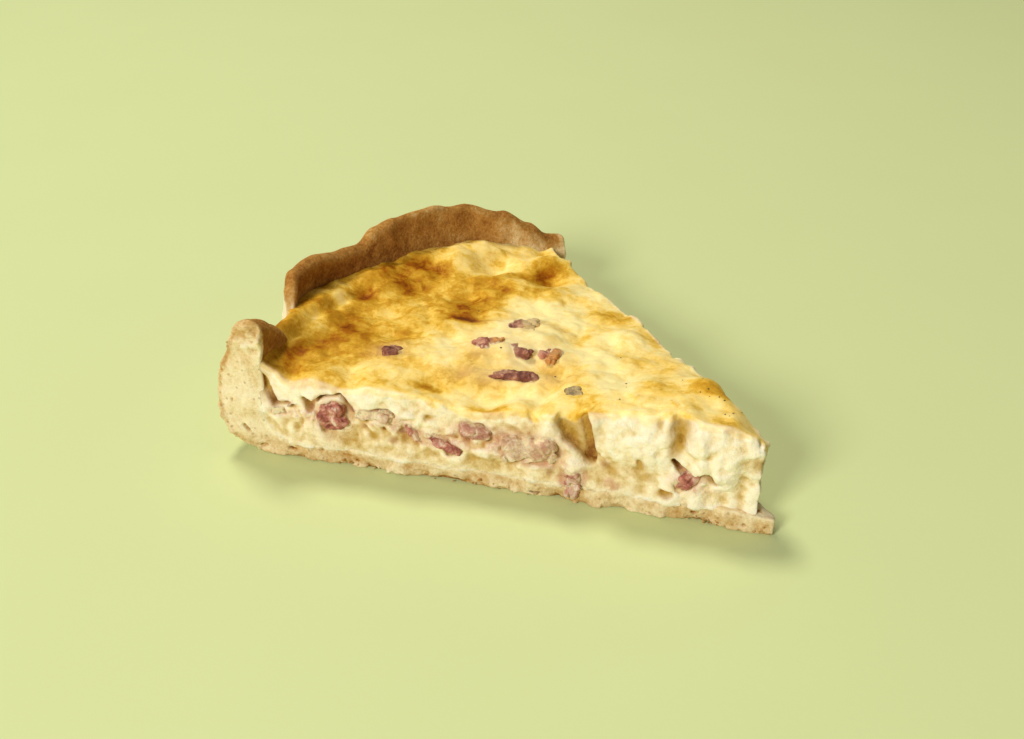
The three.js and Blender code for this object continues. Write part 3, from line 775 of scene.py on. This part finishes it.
class Nodes:
    """Short ways to build one material's node tree."""

    def __init__(self, name):
        self.material = bpy.data.materials.new(name)
        self.material.use_nodes = True
        self.tree = self.material.node_tree
        self.shader = self.tree.nodes["Principled BSDF"]
        self.place = self.add("ShaderNodeTexCoord").outputs["Object"]

    def add(self, kind, **settings):
        node = self.tree.nodes.new(kind)
        for key, value in settings.items():
            setattr(node, key, value)
        return node

    def put(self, value, socket):
        if isinstance(value, bpy.types.NodeSocket):
            self.tree.links.new(value, socket)
        else:
            socket.default_value = value

    def value(self, name, strength=1.0):
        """A value that the mesh carries, made weaker where the strength is below 1."""
        value = self.add("ShaderNodeAttribute", attribute_name=name).outputs["Fac"]
        return value if strength == 1 else self.math("MULTIPLY", value, strength)

    def noise(self, size, detail=3.0, rough=0.55, twist=0.0):
        """Noise of a size in millimetres, from 0 to 1."""
        node = self.add("ShaderNodeTexNoise")
        self.put(self.place, node.inputs["Vector"])
        self.put(1 / (size * MM), node.inputs["Scale"])
        self.put(detail, node.inputs["Detail"])
        self.put(rough, node.inputs["Roughness"])
        self.put(twist, node.inputs["Distortion"])
        return node.outputs["Fac"]

    def cells(self, size):
        """How far the nearest of scattered points is, for specks."""
        node = self.add("ShaderNodeTexVoronoi", feature="F1")
        self.put(self.place, node.inputs["Vector"])
        self.put(1 / (size * MM), node.inputs["Scale"])
        return node.outputs["Distance"]

    def math(self, operation, a, b=0.0, clamp=False):
        node = self.add("ShaderNodeMath", operation=operation, use_clamp=clamp)
        self.put(a, node.inputs[0])
        self.put(b, node.inputs[1])
        return node.outputs[0]

    def total(self, *values):
        """The sum of values."""
        result = values[0]
        for value in values[1:]:
            result = self.math("ADD", result, value)
        return result

    def band(self, value, low, high, start=0.0, end=1.0):
        """A value stretched from a range to another, kept inside it."""
        node = self.add("ShaderNodeMapRange", interpolation_type="SMOOTHSTEP")
        for socket, number in zip(node.inputs, (value, low, high, start, end)):
            self.put(number, socket)
        return node.outputs[0]

    def ramp(self, value, stops):
        node = self.add("ShaderNodeValToRGB")
        self.put(value, node.inputs[0])
        points = node.color_ramp.elements
        while len(points) < len(stops):
            points.new(0.5)
        for point, (place, color) in zip(points, stops):
            point.position = place
            point.color = linear(color)
        return node.outputs[0]

    def mix(self, share, a, b, how="MIX"):
        node = self.add("ShaderNodeMix", data_type="RGBA", blend_type=how)
        self.put(share, node.inputs[0])
        for value, socket in ((a, node.inputs[6]), (b, node.inputs[7])):
            self.put(linear(value) if isinstance(value, tuple) else value, socket)
        return node.outputs[2]

    def bump(self, height, depth, before=None):
        """Relief of a depth in millimetres at full height."""
        node = self.add("ShaderNodeBump")
        self.put(self.math("MULTIPLY", height, depth), node.inputs["Height"])
        self.put(MM, node.inputs["Distance"])
        if before:
            self.put(before, node.inputs["Normal"])
        return node.outputs[0]

    def finish(self, color, normal, roughness, shine=0.5, glow=0.0, glow_reach=(1, 1, 1)):
        self.put(color, self.shader.inputs["Base Color"])
        self.put(normal, self.shader.inputs["Normal"])
        self.put(roughness, self.shader.inputs["Roughness"])
        self.put(shine, self.shader.inputs["Specular IOR Level"])
        self.put(glow, self.shader.inputs["Subsurface Weight"])
        self.put(glow_reach, self.shader.inputs["Subsurface Radius"])
        self.put(MM, self.shader.inputs["Subsurface Scale"])
        return self.material


def linear(color):
    """A shader colour from screen values of 0 to 255."""
    shares = [value / 255 for value in color]
    curved = [s / 12.92 if s <= 0.04045 else ((s + 0.055) / 1.055) ** 2.4 for s in shares]
    return (*curved, 1.0)


def custard_material():
    n = Nodes("baked_custard")
    streaks = n.noise(7, 4, 0.55, 0.8)
    islands = n.band(n.noise(4.5, 4, 0.6, 0.5), 0.42, 0.62, -0.09, 0.09)
    fine = n.noise(1.1, 4, 0.65)
    streaks = n.band(streaks, 0.3, 0.7, -0.08, 0.08)
    tone = n.total(n.value("brown"), streaks, islands, n.band(fine, 0.3, 0.7, -0.06, 0.06))
    baked = n.ramp(tone, [
        (0.0, (252, 230, 154)), (0.24, (246, 211, 116)), (0.4, (230, 187, 76)),
        (0.54, (208, 157, 44)), (0.7, (184, 128, 26)), (0.85, (156, 88, 14)), (1.0, (108, 52, 10)),
    ])
    cream = n.math("MULTIPLY", n.value("film"), 1.5, clamp=True)
    baked = n.mix(n.math("MULTIPLY", cream, 0.8), baked, (238, 214, 156))
    # The cut's inside: the custard's pale colour, turning to painted shade in its creases, deeper in
    # and low down
    depth = n.total(n.value("hollow"), n.band(n.noise(2.2, 5, 0.65), 0.3, 0.7, -0.16, 0.16))
    inside = n.ramp(depth, [
        (0.0, (255, 240, 206)), (0.25, (249, 229, 184)), (0.5, (228, 202, 144)),
        (0.72, (204, 170, 100)), (0.88, (184, 140, 68)), (1.0, (138, 92, 36)),
    ])
    # olive painted shade in the cut's recesses and crevices
    inside = n.mix(n.value("olive_shade", 0.75), inside, (190, 148, 58))
    # dark brown painted shade in the crevices and along the bacon
    inside = n.mix(n.value("brown_shade", 0.7), inside, (168, 112, 56))
    inside = n.mix(n.value("meaty"), inside, (224, 186, 150))
    shreds = n.math("MULTIPLY", n.value("rosy"), n.band(n.noise(1.8, 5, 0.7), 0.42, 0.6, 0.1, 0.7))
    inside = n.mix(shreds, inside, (206, 148, 116))
    color = n.mix(n.value("top"), inside, baked)
    normal = n.bump(n.noise(1.0, 4, 0.6), n.math("SUBTRACT", 0.5, n.value("top", 0.4)))
    rough = n.math("SUBTRACT", 0.66, n.value("top", 0.18))
    return n.finish(color, normal, rough, shine=0.03, glow=0.3, glow_reach=(2.2, 1.5, 0.7))


def pastry_material():
    n = Nodes("baked_pastry")
    grain = n.noise(0.9, 5, 0.7)
    patches = n.noise(8, 5, 0.62, 0.5)
    patches = n.band(patches, 0.3, 0.7, -0.12, 0.12)
    # the baked tone, with painted shade in crevices and low on the cut
    tone = n.total(n.value("bake_and_shade"), n.band(grain, 0.3, 0.7, -0.09, 0.09), patches)
    color = n.ramp(tone, [
        (0.0, (252, 236, 192)), (0.2, (240, 216, 164)), (0.4, (216, 180, 118)),
        (0.6, (188, 136, 64)), (0.8, (152, 98, 40)), (1.0, (94, 54, 18)),
    ])
    specks = n.band(n.cells(2.2), 0.1, 0.22, 1.0, 0.0)
    color = n.mix(n.math("MULTIPLY", specks, 0.4), color, (150, 100, 44))
    normal = n.bump(grain, 0.5)
    normal = n.bump(n.noise(2.6, 3, 0.5), 0.4, normal)
    return n.finish(color, normal, 0.85, shine=0.05, glow=0.12, glow_reach=(1.4, 0.8, 0.4))


# Bacon looks: the marbling's darkest to fattest colour, and the colour that
# the piece turns to at one end
BACON_LOOKS = {
    "dark": ((92, 42, 28), (132, 74, 52), (170, 112, 84), (214, 170, 130), None),
    "rosy": ((136, 70, 54), (186, 112, 92), (214, 152, 128), (240, 210, 180), None),
    "faded": ((168, 106, 86), (198, 146, 118), (222, 184, 154), (240, 216, 184), None),
    "coated": ((190, 142, 108), (218, 182, 144), (232, 204, 166), (244, 226, 190), None),
    "tan_end": ((138, 70, 52), (180, 112, 86), (208, 148, 116), (228, 186, 136), (208, 148, 78)),
    "pale_end": ((88, 44, 30), (132, 80, 58), (178, 126, 98), (212, 178, 134), (216, 188, 128)),
}


def bacon_material(look):
    dark, mid, pale, fat, end = BACON_LOOKS[look]
    n = Nodes("bacon_" + look)
    streak = n.noise(3, 4, 0.6, 0.7)
    color = n.ramp(streak, [(0.34, dark), (0.46, mid), (0.56, pale), (0.66, fat)])
    if end:
        place = n.total(n.value("along"), n.math("MULTIPLY", n.noise(2), 0.5))
        color = n.mix(n.band(place, 0.72, 0.92), color, end)
    fibre = n.noise(0.6, 4, 0.65)
    # painted shade in the piece's hollows, with darker fibres
    shade = n.total(n.value("hollow"), n.band(fibre, 0.4, 0.7, -0.1, 0.25))
    color = n.mix(n.band(shade, 0.4, 0.9, 0, 0.85), color, dark)
    color = n.mix(n.value("coat", 0.85), color, (244, 222, 172))
    normal = n.bump(fibre, 0.5)
    return n.finish(color, normal, 0.45, shine=0.35, glow=0.25, glow_reach=(2.5, 0.9, 0.6))


def leek_material():
    n = Nodes("cooked_leek")
    color = n.ramp(n.noise(1.6, 4, 0.6), [
        (0.35, (110, 88, 40)), (0.5, (166, 140, 84)), (0.68, (212, 184, 122)),
    ])
    return n.finish(color, n.bump(n.noise(0.6), 0.2), 0.5, glow=0.2)


def floor_material():
    n = Nodes("floor")
    color = n.mix(n.noise(60, 2), (207, 215, 149), (204, 212, 146))
    return n.finish(color, n.bump(n.noise(2), 0.02), 0.9)


def build_crust(food, outer_wall, inner_wall, material):
    grid = food.grid
    field = crust_field(food, outer_wall, inner_wall)
    points, faces = surface(grid, field)
    outer = grid.sample(outer_wall, points)
    inner = grid.sample(inner_wall, points)
    front = grid.sample(food.front, points)
    back = grid.sample(food.back, points)
    breaks = rim_break(np.hypot(points[:, 0], points[:, 1]))
    z = points[:, 2]
    height = grid.sample(food.rim[HEIGHT], points)
    cut = np.maximum(ease(front, -1.3, -0.6), ease(back - breaks, -1.6, -0.8))
    inside = ease(-inner, -1.6, -0.2)
    crest = ease(z - height, -3.4, -0.3)
    angle = np.degrees(np.arctan2(points[:, 1], -points[:, 0]))
    bake_and_shade = blend(BAKE["outside_low"], BAKE["outside_high"], ease(z, 4, 30))
    notch = (1 - ease(np.abs(angle - NOTCH_ANGLE), 1.6, 3)) * ease(-z, -37, -28)
    bake_and_shade = blend(bake_and_shade, BAKE["notch"], notch)
    past_lobe = ease(angle, 43, 48)
    bake_and_shade = blend(bake_and_shade, blend(BAKE["inside"], BAKE["inside_back"], past_lobe), inside)
    bake_and_shade = blend(bake_and_shade, BAKE["crest"], crest)
    edge = np.maximum(ease(outer, -2.4, -0.7), ease(-z, -1.4, -0.2))
    # the cut darker low down: a browner base and painted shade near the floor
    section = blend(BAKE["section_low_and_shade"], BAKE["section"], ease(z, 2, 10))
    section = blend(section, BAKE["skin"], edge)
    frayed = layered_noise(CRUST_FRAY, *points.T)
    section = blend(section, BAKE["broken"], ease(z + frayed, 30.5, 36))
    section = blend(section, BAKE["broken"], ease(back, -4, -2) * ease(z + frayed, 12, 18))
    bake_and_shade = blend(bake_and_shade, section, cut)
    # Painted shade and light: the pastry darker in its crevices and paler on its bumps, less so on
    # the crest
    edges = 0.315 * grid.sample(spread(field, 2), points)
    edges = edges + 0.18 * grid.sample(spread(field, 4), points)
    bake_and_shade = bake_and_shade - np.clip(edges, -0.2, 0.2) * (1 - 0.8 * crest)
    mesh_piece("crust_baked", points, faces, "crust", material, {"bake_and_shade": bake_and_shade})


def browning(food):
    """How browned the top is, from pale at 0 to dark at 1."""
    grid = food.grid
    x, y = grid.flat
    brown = 0.22 + 0.11 * grid.noise_flat((11, 8), 41) + 0.08 * grid.noise_flat(4, 42)
    brown = brown + 0.26 * ease(food.radius, 84, 116)
    return add_patches(brown, x, y, BROWN_SPOTS)


def build_custard(food, inner):
    grid = food.grid
    field = custard_field(food, inner)
    food.custard = field
    points, faces = surface(grid, field)
    x, z = points[:, 0], points[:, 2]
    depth = -np.maximum(grid.sample(food.front, points), grid.sample(food.back, points))
    below = grid.sample(food.top, points) - z
    frayed = layered_noise(CUSTARD_FRAY, *points.T)
    top = ease(-below - frayed, -2.2, -1)
    near_cut = 1 - ease(depth, 0.2, 1.3)
    top = np.maximum(top - 0.45 * near_cut, 0) * ease(depth + 0.4 * frayed, -2.2, -0.2)
    # Painted shade on the cut: darker in its creases and the deeper it lies behind the cut planes
    fine = grid.sample(spread(field, 2), points)
    broad = grid.sample(spread(field, 5), points)
    hollow = 0.2 - 0.62 * fine - 0.3 * broad + 0.13 * np.clip(depth, -1, 4)
    # and painted shade low down on the cut, away from the tip
    hollow = hollow + 0.28 * ease(-z, -17, -8) * ease(-x, 18, 40)
    hollow = np.clip(hollow, 0, 1) * (1 - top)
    meaty = np.zeros(len(points))
    for radius, height, size, *_ in FRONT_BACON:
        far = np.hypot((x + radius) / size[0], (z - height) / size[2])
        meaty = np.maximum(meaty, 0.5 * ease(-far, -1.1, -0.4))
    meaty *= (1 - top) * (1 - ease(depth, 2, 4))
    on_front = 1 - ease(grid.sample(-food.front, points), 2.5, 5)
    # painted shade, olive, in the cut's recesses and crevices
    olive_shade = on_front * blots(OLIVE_SHADE_SPOTS, -x, z)
    # painted shade, dark brown, in the crevices and along the bacon
    brown_shade = on_front * blots(BROWN_SHADE_SPOTS, -x, z)
    rosy = on_front * blots(ROSY_STAINS, -x, z) * (1 - top)
    brown = grid.sample(browning(food), points)
    shroud = grid.sample(food.film, points)
    values = {
        "brown": brown, "top": top, "hollow": hollow, "meaty": meaty,
        "film": shroud, "olive_shade": olive_shade, "brown_shade": brown_shade, "rosy": rosy,
    }
    mesh_piece("custard_baked", points, faces, "filling", custard_material(), values)


def turned(points, axis, degrees):
    """Points turned about the Y or the Z axis."""
    x, y, z = points.T
    if axis == "Y":
        x, z = turned_flat(x, z, degrees)
    else:
        x, y = turned_flat(x, y, -degrees)
    return np.stack([x, y, z], -1)


def small_block(size, seed):
    """A torn block's points, faces and values, about its own middle."""
    reach = np.array(size) / 2 + 1.2
    grid = Grid(-reach, reach, 0.2)
    field = bacon_field(grid, size, seed)
    points, faces = surface(grid, field)
    values = {
        "along": points[:, 0] / size[0] + 0.5,
        # how hollow each place is, for the painted shade
        "hollow": 0.4 - 0.9 * grid.sample(spread(field, 2), points),
    }
    return points, faces, values


def coating(food, points, reach):
    """1 where a piece is smeared with custard, close to the custard's surface."""
    exposed = food.grid.sample(food.custard, points)
    uneven = layered_noise(COAT_FRAY, *points.T)
    return 1 - ease(exposed + uneven, reach - 0.5, reach)


def build_pieces(food):
    looks = {look: bacon_material(look) for look in BACON_LOOKS}
    looks["leek"] = leek_material()

    def add(name, points, faces, values, look):
        values["coat"] = coating(food, points, COAT_REACH[look])
        mesh_piece(name + "_cooked", points, faces, name, looks[look], values)

    for index, place in enumerate(FRONT_BACON, 1):
        radius, height, size, turn, proud, look = place
        points, faces, values = small_block(size, FRONT_SEED + 2 * index)
        points = turned(points, "Y", -turn) + (-radius, size[1] / 2 - proud, height)
        add(f"bacon_cut_{index}", points, faces, values, look)
    for index, (name, place) in enumerate(TOP_PIECES.items(), 1):
        radius, angle, size, proud, turn, tilt, look, _ = place
        points, faces, values = small_block(size, TOP_SEED + 2 * index)
        middle = math.radians(angle)
        at = np.array([[-radius * math.cos(middle), radius * math.sin(middle), 0]])
        at[0, 2] = food.grid.sample(food.seat, at)[0] + proud - size[2] / 2
        points = turned(turned(points, "Y", tilt), "Z", turn) + at
        add(name, points, faces, values, look)


def grains(places, lengths, flat, seed):
    """Small uneven grains at places, as one set of points and faces, and the
    grain that each point belongs to."""
    golden = (1 + 5**0.5) / 2
    ring = [(a, b * golden) for a in (-1, 1) for b in (-1, 1)]
    corners = [turn for a, b in ring for turn in ((0, a, b), (a, b, 0), (b, 0, a))]
    corners = np.array(corners) / math.hypot(1, golden)
    triples = np.array([
        (i, j, k) for i in range(12) for j in range(12) for k in range(12)
        if max(np.linalg.norm(corners[a] - corners[b]) for a, b in ((i, j), (j, k), (k, i))) < 1.1
        and np.dot(np.cross(corners[i], corners[j]), corners[k]) > 0 and i == min(i, j, k)
    ])
    rng = np.random.default_rng(seed)
    points = corners * rng.uniform(0.7, 1.15, (len(places), 12, 3))
    points = points * rng.uniform(0.5, 1, (len(places), 1, 3))
    points = points * (np.asarray(lengths) / 2)[:, None, None] * (1, 1, flat)
    spin = rng.uniform(0, 360, len(places))
    points = np.stack([turned(p, "Z", degrees) for p, degrees in zip(points, spin)])
    points = points + np.asarray(places)[:, None, :]
    faces = triples[None] + 12 * np.arange(len(places))[:, None, None]
    owner = np.repeat(np.arange(len(places)), 12)
    return points.reshape(-1, 3), faces.reshape(-1, 3), owner


def fleck_material():
    n = Nodes("pepper_and_herbs")
    color = n.ramp(n.noise(0.5, 2), [(0.35, (52, 40, 20)), (0.6, (92, 76, 34))])
    return n.finish(color, n.bump(n.noise(0.2), 0.05), 0.6)


def build_flecks(food):
    radius, angle, length = np.array(FLECKS, float).T
    angle = np.radians(angle)
    x, y = -radius * np.cos(angle), radius * np.sin(angle)
    height = food.grid.sample(food.top, np.stack([x, y], -1))
    places = np.stack([x, y, height], -1)
    points, faces, _ = grains(places, length, 0.35, 71)
    mesh_piece("flecks", points, faces, None, fleck_material())


def build_crumbs(material):
    rng = np.random.default_rng(72)
    radius = np.concatenate([
        rng.uniform(3, 126, CRUMB_COUNT * 2 // 3), rng.uniform(0.5, 16, CRUMB_COUNT // 3),
    ])
    count = len(radius)
    sizes = blend(*CRUMB_SIZES, rng.uniform(0, 1, count) ** 2)
    height = sizes / 2 + rng.uniform(0, 1.6, count) ** 1.5
    depth = -np.exp(-radius / 10) * CRUST_TIP_HALF_WIDTH + rng.uniform(0, 0.5, count)
    places = np.stack([-radius, depth, height], -1)
    points, faces, owner = grains(places, sizes, 0.9, 73)
    tones = rng.uniform(0.24, 0.62, count)[owner]
    mesh_piece("crumbs", points, faces, None, material, {"bake_and_shade": tones})


def build_stage():
    size = 3.0
    mesh = bpy.data.meshes.new("floor")
    corners = [(-size, -size, 0), (size, -size, 0), (size, size, 0), (-size, size, 0)]
    mesh.from_pydata(corners, [], [(0, 1, 2, 3)])
    mesh.materials.append(floor_material())
    floor = bpy.data.objects.new("floor", mesh)
    bpy.context.scene.collection.objects.link(floor)


def in_frame(point):
    return Vector([(a + b) * MM for a, b in zip(point, TART_CENTRE)])


def area_light(name, azimuth, elevation, distance, size, power, color):
    """A soft light towards the slice's middle, from a side and a height."""
    light = bpy.data.lights.new(name, "AREA")
    light.shape = "DISK"
    light.size = size
    light.energy = power
    light.color = color
    lamp = bpy.data.objects.new(name, light)
    flat = math.cos(math.radians(elevation))
    lamp.location = Vector((
        distance * flat * math.cos(math.radians(azimuth)),
        distance * flat * math.sin(math.radians(azimuth)),
        distance * math.sin(math.radians(elevation)),
    ))
    lamp.rotation_euler = (-lamp.location).to_track_quat("-Z", "Y").to_euler()
    bpy.context.scene.collection.objects.link(lamp)


def build_lights():
    for name, light in LIGHTS.items():
        area_light(name, *light)
    world = bpy.data.worlds.new("studio")
    world.use_nodes = True
    background = world.node_tree.nodes["Background"]
    background.inputs["Color"].default_value = (1, 1, 1, 1)
    background.inputs["Strength"].default_value = WORLD_LIGHT
    bpy.context.scene.world = world
    bpy.context.scene.view_settings.view_transform = "Standard"


def build_camera():
    camera = bpy.data.cameras.new("camera")
    camera.lens = CAMERA_LENS
    camera.sensor_width = 36
    camera.clip_start = 0.01
    rig = bpy.data.objects.new("camera", camera)
    rig.location = in_frame(CAMERA_AT)
    look = in_frame(CAMERA_LOOKS_AT) - rig.location
    rig.rotation_euler = look.to_track_quat("-Z", "Y").to_euler()
    bpy.context.scene.collection.objects.link(rig)
    bpy.context.scene.camera = rig


build_camera()
build_lights()
build_stage()
food = Slice(Grid(GRID_LOW, GRID_HIGH, STEP))
outer_wall, inner_wall = food.walls()
pastry = pastry_material()
build_crust(food, outer_wall, inner_wall, pastry)
build_custard(food, inner_wall)
build_pieces(food)
build_flecks(food)
build_crumbs(pastry)
